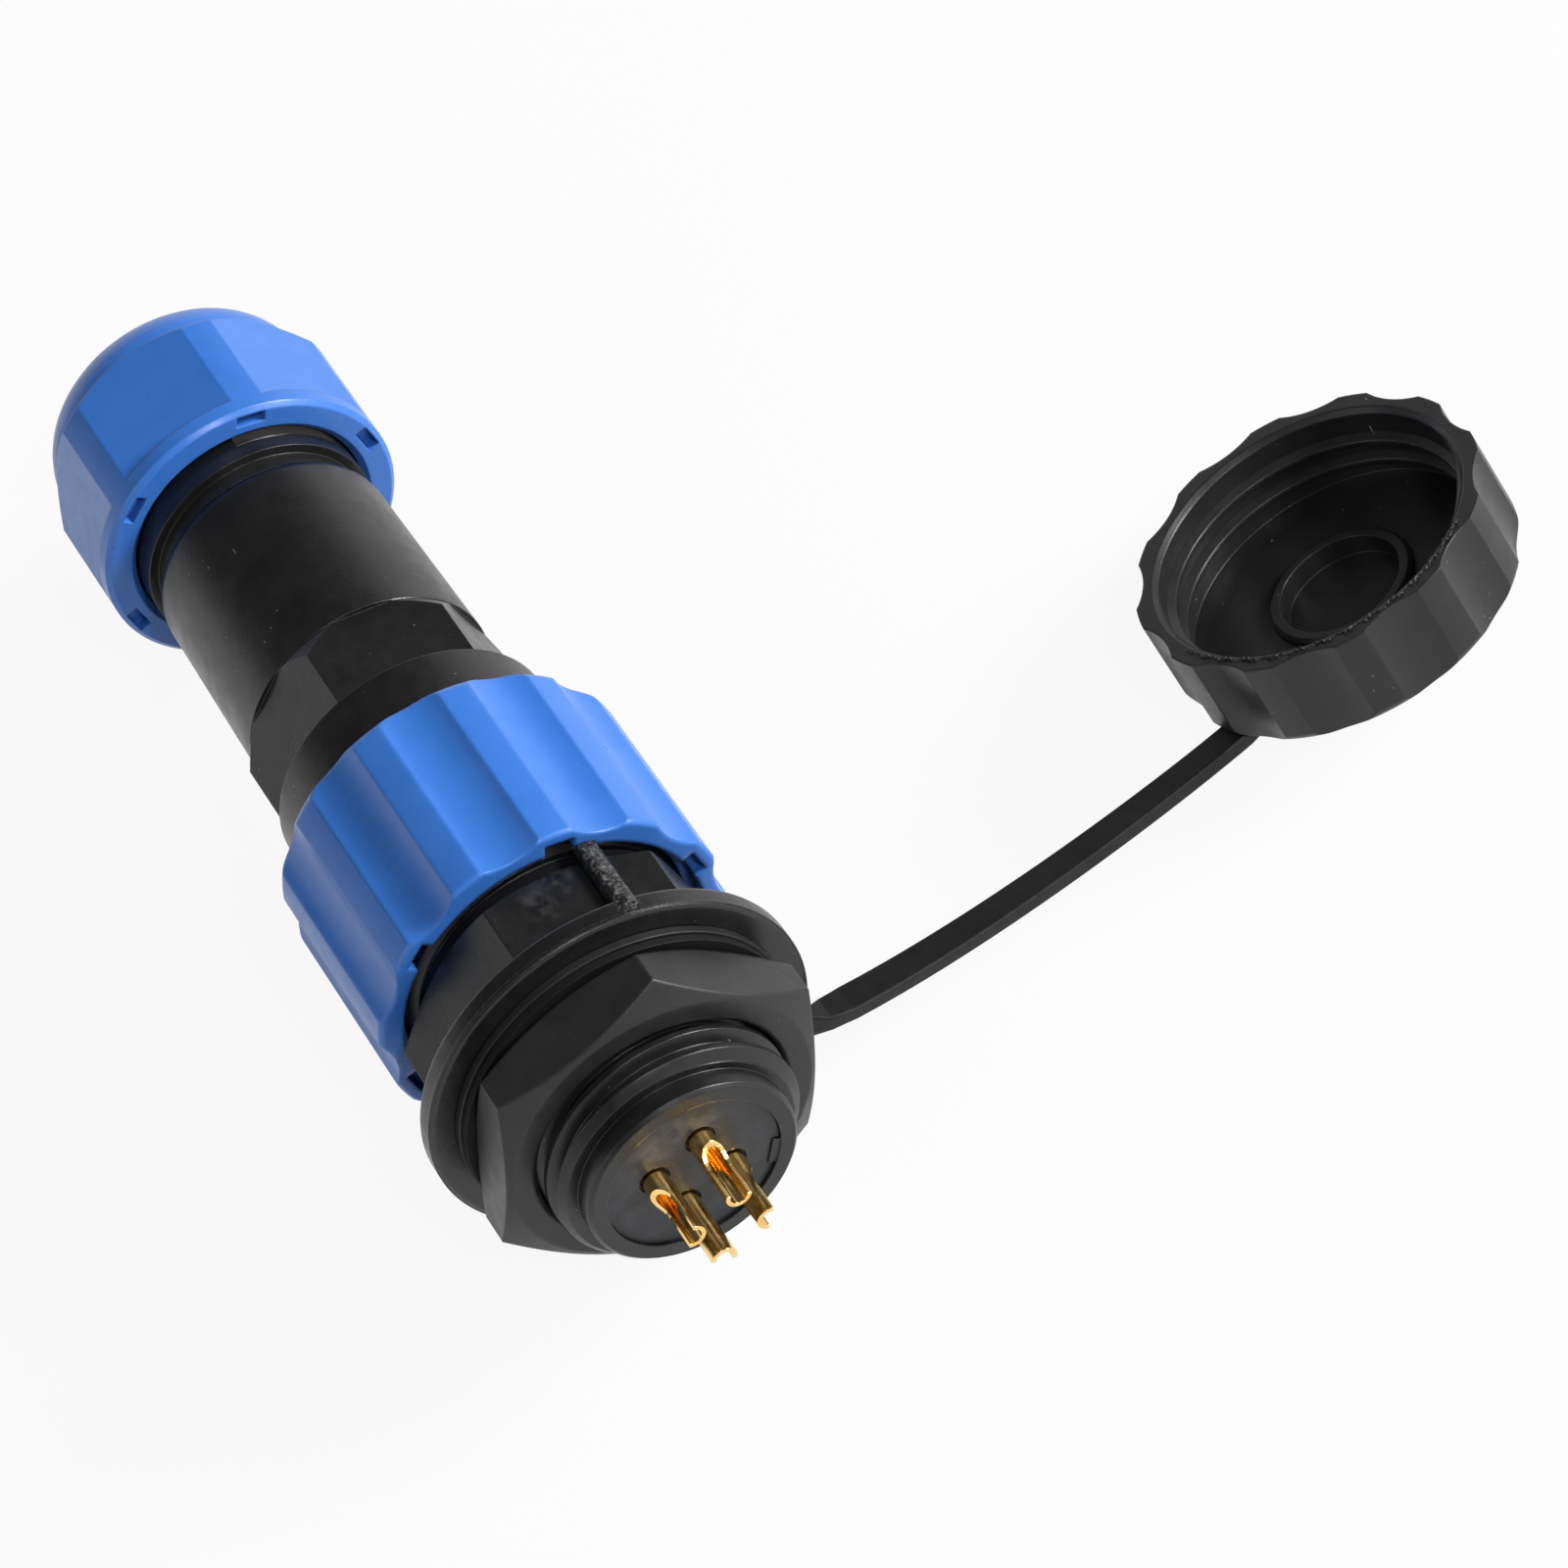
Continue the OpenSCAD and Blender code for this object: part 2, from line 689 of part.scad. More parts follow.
// Coupling ring: fluted grip, pockets in its front face, and a rear wall behind the plug's shoulder
ring_rear_round = 1.2;
ring_front_round = 0.25;
ring_mouth_depth = 2;
ring_pocket_w = 2.4;
ring_pocket_depth = 1;
ring_pocket_r = 0.95;
module coupling_ring() {
    color(blue_plastic) difference() {
        turned(concat(
            [[0, ring_rear_x]],
            rim_arc(ring_r, ring_rear_x, ring_rear_round),
            [[ring_r, ring_front_x - ring_front_round], [ring_r - ring_front_round, ring_front_x]],
            [[0, ring_front_x]]));
        bar_x(throat_r + turn_clear, ring_rear_x - past, ring_front_x);
        bar_x(ring_bore_r, ring_step_x, ring_front_x + past);
        bar_x(ring_mouth_r, ring_front_x - ring_mouth_depth, ring_front_x + past);
        along_x() flutes(ring_r, ring_flute_depth, ring_flute_w, ring_flutes, ring_angle,
            ring_rear_x - past, ring_front_x + past);
        along_x() face_pockets(ring_bore_r, ring_mouth_r + ring_pocket_r, ring_pocket_w,
            ring_pocket_depth, ring_front_x, ring_pocket_angle);
    }
}

// Back shell: collar, wrench flats, tapered barrel and gland thread around the wiring space
barrel_round = 1.6;
gland_relief_depth = 0.8;
gland_relief_r = gland_thread_r - gland_relief_depth;
gland_relief_len = 1.4;
flare_slope = 1.85;
flare_step = 0.1;
module wrench_flats() {
    corner_r = wrench_af / 2 / cos(30);
    turned_r = corner_r + past;
    flare_r = barrel_d / 2 - flare_step;
    intersection() {
        around_x(wrench_angle + 30) translate([0, 0, barrel_x - past])
            cylinder(r = corner_r, h = wrench_len + 2 * past, $fn = 6);
        turned([
            [0, barrel_x - 2 * past],
            [flare_r - 2 * past / flare_slope, barrel_x - 2 * past],
            [turned_r, barrel_x + (turned_r - flare_r) * flare_slope],
            [turned_r, wrench_x + 2 * past],
            [0, wrench_x + 2 * past]
        ]);
    }
}

module back_shell() {
    color(black_plastic) difference() {
        union() {
            turned([
                [0, wrench_x],
                [collar_d / 2, wrench_x],
                [collar_d / 2, collar_x - small_chamfer],
                [collar_d / 2 - small_chamfer, collar_x],
                [0, collar_x]
            ]);
            wrench_flats();
            turned(concat(
                [[0, shell_end_x]],
                [[gland_thread_r - thread_chamfer, shell_end_x]],
                [[gland_thread_r, shell_end_x + thread_chamfer]],
                [[gland_thread_r, barrel_end_x - gland_relief_len]],
                [[gland_relief_r, barrel_end_x - gland_relief_len], [gland_relief_r, barrel_end_x]],
                rim_arc(barrel_end_d / 2, barrel_end_x, barrel_round),
                [[barrel_d / 2, barrel_x], [0, barrel_x]]));
        }
        bar_x(throat_r + turn_clear, oring_floor_x, collar_x + past);
        bar_x(spigot_r + turn_clear, spigot_end_x - past, collar_x);
        bar_x(shell_bore_r, seal_stop_x + seal_stop_t, spigot_end_x);
        bar_x(seal_bore_r, seal_stop_x - past, spigot_end_x);
        bar_x(seal_r + turn_clear, shell_end_x - past, seal_stop_x);
    }
}

// O-ring between the plug shell's throat and the back shell
module shell_oring() {
    ring_mid_r = (throat_r + spigot_r) / 2;
    section_r = min(oring_d, throat_r - spigot_r) / 2 - press_clear;
    color(black_rubber) along_x() translate([0, 0, oring_floor_x + oring_d / 2])
        rotate_extrude() translate([ring_mid_r, 0]) circle(r = section_r, $fn = 32);
}

// Cable seal: rubber bush with a tapered rear end for the collet
seal_taper = 1.2;
module cable_seal() {
    color(black_rubber) turned([
        [seal_bore_r, seal_rear_x],
        [seal_r - seal_taper, seal_rear_x],
        [seal_r, seal_rear_x + seal_taper],
        [seal_r, seal_stop_x],
        [seal_bore_r, seal_stop_x]
    ]);
}

// Clamp collet: slotted ring whose fingers close on the cable
collet_slots = 6;
collet_slot_w = 1;
collet_base = 1.3;
module clamp_collet() {
    color(white_plastic) difference() {
        turned([
            [seal_bore_r, collet_x],
            [seal_r, collet_x],
            [seal_r, collet_front_x - seal_taper],
            [seal_r - seal_taper, collet_front_x],
            [seal_bore_r, collet_front_x]
        ]);
        for (i = [0 : collet_slots - 1])
            around_x(360 / collet_slots * i)
                translate([0, -collet_slot_w / 2, collet_x + collet_base])
                    cube([seal_r + past, collet_slot_w, collet_len]);
    }
}

// Clamp washer: slip ring between the collet and the gland nut's floor
module clamp_washer() {
    color(white_plastic)
        tube_x(gland_bore_r - thread_clear, seal_bore_r, washer_x, washer_x + washer_t);
}

// Gland nut: round collar, six flats that run into the domed end, and the cable entry
gland_collar_len = 1.6;
gland_chamfer = 0.4;
gland_lead = 0.5;
gland_pocket_w = 2.4;
gland_pocket_depth = 1;
gland_pocket_r = 1;
gland_pocket_rim = 0.5;
gland_pocket_turn = 31.5;
dome_step = 0.1;
land_drop = 1.4;
module gland_nut() {
    flat_len = gland_len - gland_collar_len;
    color(blue_plastic) difference() {
        turned(concat(
            [[0, gland_end_x]],
            rim_arc(gland_af / 2 - dome_step, gland_end_x, dome_r, 12),
            [[gland_r, gland_end_x + dome_r + land_drop]],
            [[gland_r, gland_front_x - gland_chamfer], [gland_r - gland_chamfer, gland_front_x]],
            [[0, gland_front_x]]));
        for (i = [0 : 5])
            around_x(gland_angle + 60 * i, gland_af / 2)
                translate([0, -gland_d / 2, gland_end_x - past])
                    cube([gland_d / 2, gland_d, flat_len + past]);
        bar_x(cable_r, gland_end_x - past, gland_floor_x + past);
        bar_x(gland_bore_r, gland_floor_x, gland_front_x + past);
        turned([
            [0, gland_front_x - gland_lead],
            [gland_bore_r, gland_front_x - gland_lead],
            [gland_bore_r + gland_lead + past, gland_front_x + past],
            [0, gland_front_x + past]
        ]);
        along_x() face_pockets(gland_r - gland_pocket_rim - gland_pocket_r, gland_r - gland_pocket_rim,
            gland_pocket_w, gland_pocket_depth, gland_front_x, gland_angle + gland_pocket_turn);
    }
}

socket_body();
socket_insert();
socket_contact(1);  // socket_contact_1
socket_contact(2);  // socket_contact_2
socket_contact(3);  // socket_contact_3
socket_contact(4);  // socket_contact_4
panel_gasket();
panel_nut();
cap_tether();
dust_cap();
plug_shell();
plug_insert();
plug_contact(1);  // plug_contact_1
plug_contact(2);  // plug_contact_2
plug_contact(3);  // plug_contact_3
plug_contact(4);  // plug_contact_4
coupling_seal();
coupling_ring();
back_shell();
shell_oring();
cable_seal();
clamp_collet();
clamp_washer();
gland_nut();
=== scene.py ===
import json
import math

import bmesh
import bpy
from mathutils import Matrix, Vector, noise as field


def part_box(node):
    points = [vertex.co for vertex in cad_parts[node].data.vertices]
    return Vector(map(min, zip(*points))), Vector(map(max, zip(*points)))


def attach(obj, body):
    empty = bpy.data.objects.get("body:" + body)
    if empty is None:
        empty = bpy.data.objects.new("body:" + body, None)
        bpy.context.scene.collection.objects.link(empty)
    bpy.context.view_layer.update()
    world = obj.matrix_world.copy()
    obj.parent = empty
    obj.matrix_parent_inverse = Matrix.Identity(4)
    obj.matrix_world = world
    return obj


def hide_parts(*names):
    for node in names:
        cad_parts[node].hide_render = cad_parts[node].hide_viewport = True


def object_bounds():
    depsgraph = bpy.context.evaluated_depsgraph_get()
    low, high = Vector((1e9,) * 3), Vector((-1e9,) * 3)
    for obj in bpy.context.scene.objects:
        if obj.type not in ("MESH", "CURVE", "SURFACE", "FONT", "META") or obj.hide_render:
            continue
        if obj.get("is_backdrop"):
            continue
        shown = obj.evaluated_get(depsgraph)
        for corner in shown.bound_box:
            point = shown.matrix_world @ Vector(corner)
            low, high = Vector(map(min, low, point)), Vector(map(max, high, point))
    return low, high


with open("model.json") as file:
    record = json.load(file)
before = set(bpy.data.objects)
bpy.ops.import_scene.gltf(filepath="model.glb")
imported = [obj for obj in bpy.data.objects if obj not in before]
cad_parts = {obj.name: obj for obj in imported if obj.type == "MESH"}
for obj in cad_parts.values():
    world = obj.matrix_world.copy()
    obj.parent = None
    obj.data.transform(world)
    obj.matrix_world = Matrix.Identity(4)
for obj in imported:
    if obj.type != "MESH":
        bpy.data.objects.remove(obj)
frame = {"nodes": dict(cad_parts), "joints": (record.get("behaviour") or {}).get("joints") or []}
cad_low, cad_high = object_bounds()

MM = 0.001
CONTACTS = range(1, 5)
# Local Z to X, local X to Y and local Y to Z, so an angle is read from +Y towards +Z
ALONG_X = Matrix(((0, 0, 1, 0), (1, 0, 0, 0), (0, 1, 0, 0), (0, 0, 0, 1)))

# Threads: outside radius, depth, pitch and flat in millimetres, and the turns from start to end
PANEL_THREAD = (10.0, 0.9, 2.0, 0.5)
PANEL_TURNS = (0.7, 5.6)
PANEL_START = -0.1
COUPLING_THREAD = (11.6, 0.55, 2.0, 0.5)
COUPLING_TURNS = (0.0, 7.5)
COUPLING_LEAD = 2.0
GLAND_THREAD = (9.7, 0.65, 1.5, 0.3)
GLAND_TURNS = (0.0, 7.2)
GLAND_LEAD = 1.3

# Dust cap in millimetres, with the ridge of its thread as half widths at foot and crest
CAP_BORE_R = 12.32
CAP_H = 8.1
CAP_FLOOR = 1.6
CAP_LEAD = 0.4
CAP_EDGE = 1.05
RIDGE_PITCH = 2.0
RIDGE_TURNS = (0.0, 2.3)
RIDGE_FADE = 0.15
RIDGE_UP = 0.9
RIDGE_H = 0.66
RIDGE_SUNK = 0.08
RIDGE_FOOT = 0.62
RIDGE_CREST = 0.18
FLASH_ARC = (-75.0, 42.0)
FLASH_PER_DEGREE = 3
FLASH_FADE = 6
FLASH_H = 0.36
FLASH_LEAST = 0.02
FLASH_END_H = 0.005
FLASH_OUT = 0.25
FLASH_SUNK = 0.05
FLASH_FOOT = 0.14
FLASH_CREST = (-0.06, 0.05)

# Grip flutes: crest radius and depth in millimetres, and the first flute's angle
FLUTES = 12
FLUTE_W = math.radians(20.0)
FLUTE_SIDES = 120
RING_FLUTE = (14.45, 0.85, math.radians(50.0))
CAP_FLUTE = (14.12, 0.68, math.radians(2.0))

# Neck, flange and solder cups in millimetres
RIB_ANGLE = math.radians(54.5)
RIB_R = 13.0
RIB_W = 1.7
RIB_SUNK = 1.0
RIB_RISE = 0.2
RIB_TORN = 0.12
RIB_CLEAR = 0.2
GATE_ANGLE = math.radians(61.0)
GATE_INSET = 0.1
GATE_END = -0.75
GATE_RISE = 0.3
GATE_TORN = 0.14
FLANGE_R = 15.5
FLANGE_T = 2.0
FLANGE_ROUND = 0.5
FLANGE_LIP = 0.2
LIP_W = 0.9
LIP_SUNK = 0.003
CUP_WELL_R = 1.24
CUP_WELL_DEPTH = 0.3
CUT_PAST = 1.0

# Torn plastic: share of the height and waves per millimetre of each layer, and the drop at the edges
TEARS = ((0.7, 1.9), (0.5, 4.7))
TEAR_ROUND = 0.25


def end_of(node, side):
    """Station in millimetres of a node's cable end (0) or panel end (1)."""
    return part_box(node)[side].x / MM


def joint_place(name):
    """Frame in millimetres on a joint, with local Z along its axis and local Y along the row's Y."""
    joint = next(j for j in frame["joints"] if j["name"] == name)
    up = Vector(joint["axis"]).normalized()
    side = Vector((0, 1, 0)).cross(up).normalized()
    turn = Matrix((side, up.cross(side), up)).transposed().to_4x4()
    return Matrix.Translation(Vector(joint["pos_m"]) / MM) @ turn


# Meshes, made in millimetres and scaled to metres at the end

def closed_mesh(name, points, faces):
    """Mesh with its normals outwards."""
    mesh = bpy.data.meshes.new(name)
    mesh.from_pydata([tuple(p) for p in points], [], faces)
    work = bmesh.new()
    work.from_mesh(mesh)
    bmesh.ops.recalc_face_normals(work, faces=work.faces)
    work.to_mesh(mesh)
    work.free()
    return mesh


def shown_object(name, mesh):
    made = bpy.data.objects.new(name, mesh)
    bpy.context.scene.collection.objects.link(made)
    return made


def finished_piece(name, mesh, sharp=20.0):
    """Object in metres, smooth up to the given edge angle, with its flats kept flat."""
    mesh.transform(Matrix.Scale(MM, 4))
    mesh.shade_smooth()
    mesh.set_sharp_from_angle(angle=math.radians(sharp))
    made = shown_object(name, mesh)
    flat = made.modifiers.new("flats", "WEIGHTED_NORMAL")
    flat.keep_sharp = True
    flat.weight = 100
    return made


def around(radius, angle, height):
    """Point about local Z."""
    return Vector((radius * math.cos(angle), radius * math.sin(angle), height))


def tube_faces(sections, sides):
    """Faces of a closed sweep of sections that each have the same number of points."""
    faces = [tuple(range(sides))[::-1]]
    for i in range(sections - 1):
        for j in range(sides):
            a, b = i * sides + j, i * sides + (j + 1) % sides
            faces.append((a, b, b + sides, a + sides))
    faces.append(tuple((sections - 1) * sides + j for j in range(sides)))
    return faces


def helix(profile, pitch, start, turns, place, fade=0.0, per_turn=96):
    """Closed sweep of a profile of (radius, height) on a right-handed helix.
    Over fade turns at each end the profile sinks to the radius of its first point."""
    first, last = turns
    count = int((last - first) * per_turn)
    base = profile[0][0]
    points = []
    for i in range(count + 1):
        turn = first + (last - first) * i / count
        rise = min(1.0, min(turn - first, last - turn) / fade) if fade else 1.0
        rise = rise * rise * (3 - 2 * rise)
        for radius, height in profile:
            r = base + (radius - base) * rise
            points.append(place @ around(r, 2 * math.pi * turn, start + pitch * turn + height))
    return points, tube_faces(count + 1, len(profile))


def thread_cutter(thread, start, turns, past=0.1):
    """Groove that cuts a thread into a part on the X axis, with equal flats at root and crest."""
    radius, depth, pitch, flat = thread
    half = (pitch - flat) / 2
    spread = (half - flat / 2) / depth * past
    groove = [
        (radius + past, half + spread), (radius + past, -half - spread),
        (radius - depth, -flat / 2), (radius - depth, flat / 2)]
    return helix(groove, pitch, start, turns, ALONG_X)


def disc(place, radius, low, high, count=48):
    """Round cutter along local Z."""
    points = []
    for z in (low, high):
        points += [place @ around(radius, 2 * math.pi * i / count, z) for i in range(count)]
    return points, tube_faces(2, count)


def turned_ring(profile, place, count=240):
    """Closed ring about local Z from a closed profile of (radius, height)."""
    sides = len(profile)
    points = []
    faces = []
    for i in range(count):
        points += [place @ around(r, 2 * math.pi * i / count, z) for r, z in profile]
        here, on = sides * i, sides * ((i + 1) % count)
        for j in range(sides):
            k = (j + 1) % sides
            faces.append((here + j, here + k, on + k, on + j))
    return points, faces


def edge_cutter(radius, edge, place, past=0.3, steps=12):
    """Ring that rounds the outer edge of a part that stands on local zero."""
    turns = [math.pi / 2 * i / steps for i in range(steps + 1)]
    arc = [(radius - edge + edge * math.sin(a), edge - edge * math.cos(a)) for a in turns]
    outside = [(radius + past, edge), (radius + past, -past)]
    return turned_ring([(radius - edge, -past)] + arc + outside, place)


def flute_cutters(flute, low, high, place):
    """Round cutters that hollow out the grip flutes about local Z."""
    radius, depth, angle = flute
    half = radius * math.sin(FLUTE_W / 2)
    drop = radius * math.cos(FLUTE_W / 2) - (radius - depth)
    cut_r = (half * half + drop * drop) / (2 * drop)
    middle = Matrix.Translation((radius - depth + cut_r, 0, 0))
    turns = [Matrix.Rotation(angle + 2 * math.pi * i / FLUTES, 4, "Z") for i in range(FLUTES)]
    ends = (low - CUT_PAST, high + CUT_PAST)
    return [disc(place @ turn @ middle, cut_r, *ends, FLUTE_SIDES) for turn in turns]


def flash_strip(radius, top, arc, tallest, place):
    """Ragged low ridge along an arc, in degrees, at the given radius and height.
    Waves that are out of step make its height and its line uneven."""
    first, last = arc
    inner, outer = FLASH_CREST
    count = int((last - first) * FLASH_PER_DEGREE)
    points = []
    for i in range(count + 1):
        angle = math.radians(first + (last - first) * i / count)
        ragged = abs(math.sin(i * 1.7) * math.sin(i * 0.43 + 1.1) * math.cos(i * 0.117))
        end = min(1.0, i / FLASH_FADE, (count - i) / FLASH_FADE)
        height = (FLASH_LEAST + tallest * ragged) * end + FLASH_END_H
        sway = 0.10 * math.sin(i * 0.31) + 0.06 * math.sin(i * 1.13)
        section = [
            (-FLASH_FOOT, -FLASH_SUNK), (FLASH_FOOT, -FLASH_SUNK), (outer, height), (inner, height)]
        for across, up in section:
            points.append(place @ around(radius + sway + across, angle, top + up))
    return points, tube_faces(count + 1, len(section))


def torn_bar(angle, span, base, top, width, torn, step=0.12, across=10):
    """Bar along X at an angle round the axis, between two radii, with a torn top and rounded edges."""
    first, last = span
    out = Vector((0, math.cos(angle), math.sin(angle)))
    side = Vector((0, -math.sin(angle), math.cos(angle)))
    count = int((last - first) / step)
    points = []
    for i in range(count + 1):
        middle = Vector((first + (last - first) * i / count, 0, 0))
        for j in range(across + 1):
            u = width * (j / across - 0.5)
            place = middle + side * u
            rough = sum(share * field.noise(place * waves) for share, waves in TEARS)
            rounded = TEAR_ROUND * (2 * u / width) ** 4
            points.append(place + out * (top + torn * (rough - 1.0) - rounded))
        points.append(middle + side * (width / 2) + out * base)
        points.append(middle - side * (width / 2) + out * base)
    return points, tube_faces(count + 1, across + 3)


def drop_normals(mesh):
    """Takes off stored normals, so that shading follows the faces."""
    for stored in ("custom_normal", "sharp_edge", "sharp_face"):
        if stored in mesh.attributes:
            mesh.attributes.remove(mesh.attributes[stored])


def cad_copy(node, joined=2e-7):
    """Closed copy of a CAD node's mesh in millimetres.
    Points that lie within the given distance in metres are joined."""
    mesh = bpy.data.meshes.new(node + "_copy")
    work = bmesh.new()
    work.from_mesh(frame["nodes"][node].data)
    bmesh.ops.remove_doubles(work, verts=work.verts, dist=joined)
    bmesh.ops.scale(work, vec=(1 / MM, 1 / MM, 1 / MM), verts=work.verts)
    bmesh.ops.recalc_face_normals(work, faces=work.faces)
    work.to_mesh(mesh)
    work.free()
    drop_normals(mesh)
    return mesh


def cut_copy(node, name, cutters):
    """Piece that stands for a CAD node, with the cutters taken out of it."""
    body = shown_object(name + "_work", cad_copy(node))
    tools = [shown_object(name + "_cutter", closed_mesh(name + "_cutter", *c)) for c in cutters]
    for tool in tools:
        change = body.modifiers.new("cut", "BOOLEAN")
        change.operation = "DIFFERENCE"
        change.solver = "EXACT"
        change.object = tool
    bpy.context.view_layer.update()
    mesh = bpy.data.meshes.new_from_object(body.evaluated_get(bpy.context.evaluated_depsgraph_get()))
    for o in [body] + tools:
        bpy.data.objects.remove(o)
    made = finished_piece(name, mesh)
    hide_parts(node)
    return made


# Node helpers for materials

def new_material(name):
    material = bpy.data.materials.new(name)
    material.use_nodes = True
    tree = material.node_tree
    tree.nodes.clear()
    out = tree.nodes.new("ShaderNodeOutputMaterial")
    shader = tree.nodes.new("ShaderNodeBsdfPrincipled")
    tree.links.new(shader.outputs["BSDF"], out.inputs["Surface"])
    place = tree.nodes.new("ShaderNodeTexCoord").outputs["Object"]
    return material, tree, shader, place


def noise(tree, place, scale, detail=3.0):
    made = tree.nodes.new("ShaderNodeTexNoise")
    made.inputs["Scale"].default_value = scale
    made.inputs["Detail"].default_value = detail
    tree.links.new(place, made.inputs["Vector"])
    return made.outputs["Fac"]


def stretched(tree, place, scale, turn):
    """Coordinates scaled by axis and turned, for streaks."""
    made = tree.nodes.new("ShaderNodeMapping")
    made.inputs["Scale"].default_value = scale
    made.inputs["Rotation"].default_value = turn
    tree.links.new(place, made.inputs["Vector"])
    return made.outputs["Vector"]


def remap(tree, value, low, high, to_low, to_high):
    made = tree.nodes.new("ShaderNodeMapRange")
    made.inputs["From Min"].default_value = low
    made.inputs["From Max"].default_value = high
    made.inputs["To Min"].default_value = to_low
    made.inputs["To Max"].default_value = to_high
    tree.links.new(value, made.inputs["Value"])
    return made.outputs["Result"]


def blend_colour(tree, share, first, second):
    """Mix of two colours, each a fixed colour or another node's output."""
    made = tree.nodes.new("ShaderNodeMix")
    made.data_type = "RGBA"
    # The node's colour sockets are inputs 6 and 7 and output 2
    for socket, value in ((made.inputs[6], first), (made.inputs[7], second)):
        if isinstance(value, tuple):
            socket.default_value = (*value, 1.0)
        else:
            tree.links.new(value, socket)
    tree.links.new(share, made.inputs[0])
    return made.outputs[2]


def combine(tree, operation, first, second):
    made = tree.nodes.new("ShaderNodeMath")
    made.operation = operation
    for socket, value in ((made.inputs[0], first), (made.inputs[1], second)):
        if isinstance(value, (int, float)):
            socket.default_value = value
        else:
            tree.links.new(value, socket)
    return made.outputs["Value"]


def near(tree, place, spots):
    """Mask from 1 in the core of each spot to 0 at its rim.
    A spot is a point and a radius in millimetres."""
    mask = None
    for point, radius in spots:
        away = tree.nodes.new("ShaderNodeVectorMath")
        away.operation = "DISTANCE"
        away.inputs[1].default_value = Vector(point) * MM
        tree.links.new(place, away.inputs[0])
        spot = remap(tree, away.outputs["Value"], radius * MM * SPOT_CORE, radius * MM, 1.0, 0.0)
        mask = spot if mask is None else combine(tree, "MAXIMUM", mask, spot)
    return mask


def surface(tree, shader, height, distance, edge):
    """Grain of a height in millimetres as a bump, over edges softened by a radius in millimetres."""
    soft = tree.nodes.new("ShaderNodeBevel")
    soft.samples = 8
    soft.inputs["Radius"].default_value = edge * MM
    bump = tree.nodes.new("ShaderNodeBump")
    bump.inputs["Distance"].default_value = distance * MM
    tree.links.new(height, bump.inputs["Height"])
    tree.links.new(soft.outputs["Normal"], bump.inputs["Normal"])
    tree.links.new(bump.outputs["Normal"], shader.inputs["Normal"])


# Materials

# Scales are per metre, ranges are the part of the noise in use, grains and edges are in millimetres
CLOUD_RANGE = (0.35, 0.65)
DRIFT_RANGE = (0.3, 0.7)
SPOT_CORE = 0.4
FINE_EDGE = 0.08
MOTTLE_SCALE = 260.0
GLOSS_SCALE = 700.0
GLOSS_SWING = 0.05
SPECK_SCALE = 2300.0
SPECK_RANGE = (0.78, 0.81)
LINT_SCALE = (700.0, 3600.0, 700.0)
LINT_TURN = (0.3, 0.5, 0.9)
LINT_RANGE = (0.80, 0.82)
DUST_SCALE = 110.0
DUST_RANGE = (0.47, 0.60)
DUST_COLOUR = (0.42, 0.42, 0.42)
PIT_SCALE = 3000.0
PIT_RANGE = (0.48, 0.66)
PIT_DEPTH = 5.0
SCUFF_SHARE = 0.5
SCUFF_COLOUR = (0.20, 0.20, 0.20)
FILM_SCALE = 900.0
FILM_RANGE = (0.45, 0.70)
FILM_SHARE = 0.5
FILM_COLOUR = (0.06, 0.06, 0.06)
INSERT_SCALE = 420.0
INSERT_GLOSS_SCALE = 900.0
INSERT_ROUGH = (0.42, 0.56)
INSERT_GRAIN_SCALE = 2200.0
INSERT_GRAIN = 0.03
FLUX_SCALE = 520.0
FLUX_RANGE = (0.40, 0.62)
FLUX_SHARE = 0.9
GILT_SCALE = 900.0
GILT_GLOSS_SCALE = 1800.0
GILT_ROUGH = (0.12, 0.22)
GILT_GRAIN_SCALE = 1500.0
GILT_GRAIN = 0.008

# Pairs of a dark and a light colour, and the colour of the flux
NYLON = ((0.005, 0.005, 0.0053), (0.008, 0.008, 0.0084))
NUT_NYLON = ((0.014, 0.014, 0.0143), (0.018, 0.018, 0.0183))
CAP_NYLON = ((0.010, 0.010, 0.0103), (0.013, 0.013, 0.0133))
# Gasket colour: darker than the strap rubber, as painted shade for the gap between the flange and the
# panel nut
GASKET_SHADED = ((0.005, 0.005, 0.0053), (0.007, 0.007, 0.0074))
RUBBER = ((0.006, 0.006, 0.0065), (0.010, 0.010, 0.0105))
BLUE = ((0.032, 0.146, 0.50), (0.037, 0.158, 0.53))
WHITE = ((0.62, 0.62, 0.58), (0.72, 0.72, 0.68))
INSERT_GREY = ((0.013, 0.0145, 0.018), (0.022, 0.024, 0.029))
FLUX_COLOUR = (0.080, 0.080, 0.082)
GOLD = ((0.95, 0.58, 0.17), (1.0, 0.72, 0.30))


def clouds(tree, place, scale):
    """Soft clouds from 0 to 1."""
    return remap(tree, noise(tree, place, scale), *CLOUD_RANGE, 0.0, 1.0)


def drift(tree, place, scale, low, high):
    """Value that drifts between two limits."""
    return remap(tree, noise(tree, place, scale), *DRIFT_RANGE, low, high)


def dusty(tree, place, colour, amount):
    """Colour with pale specks and short lint in patches."""
    specks = remap(tree, noise(tree, place, SPECK_SCALE, detail=1.0), *SPECK_RANGE, 0.0, 1.0)
    lint = noise(tree, stretched(tree, place, LINT_SCALE, LINT_TURN), scale=1.0, detail=1.0)
    marks = combine(tree, "MAXIMUM", specks, remap(tree, lint, *LINT_RANGE, 0.0, 1.0))
    patch = remap(tree, noise(tree, place, DUST_SCALE), *DUST_RANGE, 0.0, amount)
    return blend_colour(tree, combine(tree, "MULTIPLY", marks, patch), colour, DUST_COLOUR)


